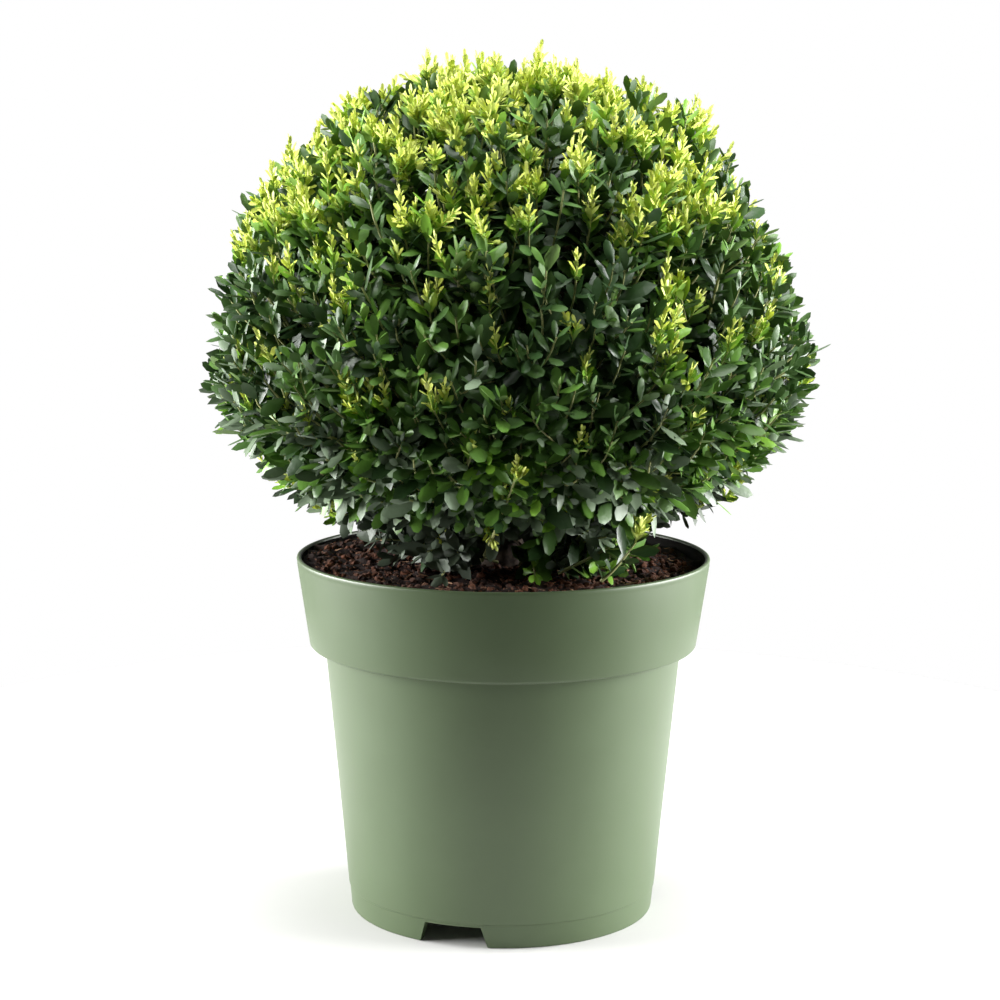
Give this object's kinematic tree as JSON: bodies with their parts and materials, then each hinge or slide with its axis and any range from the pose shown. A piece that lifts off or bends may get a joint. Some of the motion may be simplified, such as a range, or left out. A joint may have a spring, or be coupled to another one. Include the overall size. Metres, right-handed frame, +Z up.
{
  "type": "potted japanese holly topiary",
  "caption": "Clipped ball of japanese holly, small dark evergreen leaves with lime shoot tips, in a tapered green nursery pot with a deep collar and notched foot.",
  "frame": {"origin": "middle of the pot's foot, on the surface that it stands on", "axes": "+Z up the trunk, -Y the front as pictured, +X to the right of the picture"},
  "size_m": [0.3944, 0.3882, 0.5569],
  "materials": {
    "pot": "satin moulded polypropylene, grey-green",
    "potting_mix": "moist peat and bark crumbs, dark red-brown",
    "bark": "thin grey-brown bark, matt",
    "foliage": "small leathery leaves, dark glossy green, with lime young shoots"
  },
  "bodies": {
    "root": {"pot": "pot", "potting_mix": "potting_mix", "trunk": "bark", "bough_top": "bark", "bough_upper_1": "bark", "bough_upper_2": "bark", "bough_upper_3": "bark", "bough_upper_4": "bark", "bough_upper_5": "bark", "bough_lower_1": "bark", "bough_lower_2": "bark", "bough_lower_3": "bark", "bough_lower_4": "bark", "bough_lower_5": "bark", "bough_lower_6": "bark", "foliage_top": "foliage", "foliage_upper_1": "foliage", "foliage_upper_2": "foliage", "foliage_upper_3": "foliage", "foliage_upper_4": "foliage", "foliage_upper_5": "foliage", "foliage_lower_1": "foliage", "foliage_lower_2": "foliage", "foliage_lower_3": "foliage", "foliage_lower_4": "foliage", "foliage_lower_5": "foliage", "foliage_lower_6": "foliage", "low_front_left": "foliage", "low_front_right": "foliage", "low_back_right": "foliage", "low_back_left": "foliage"}
  },
  "joints": []
}
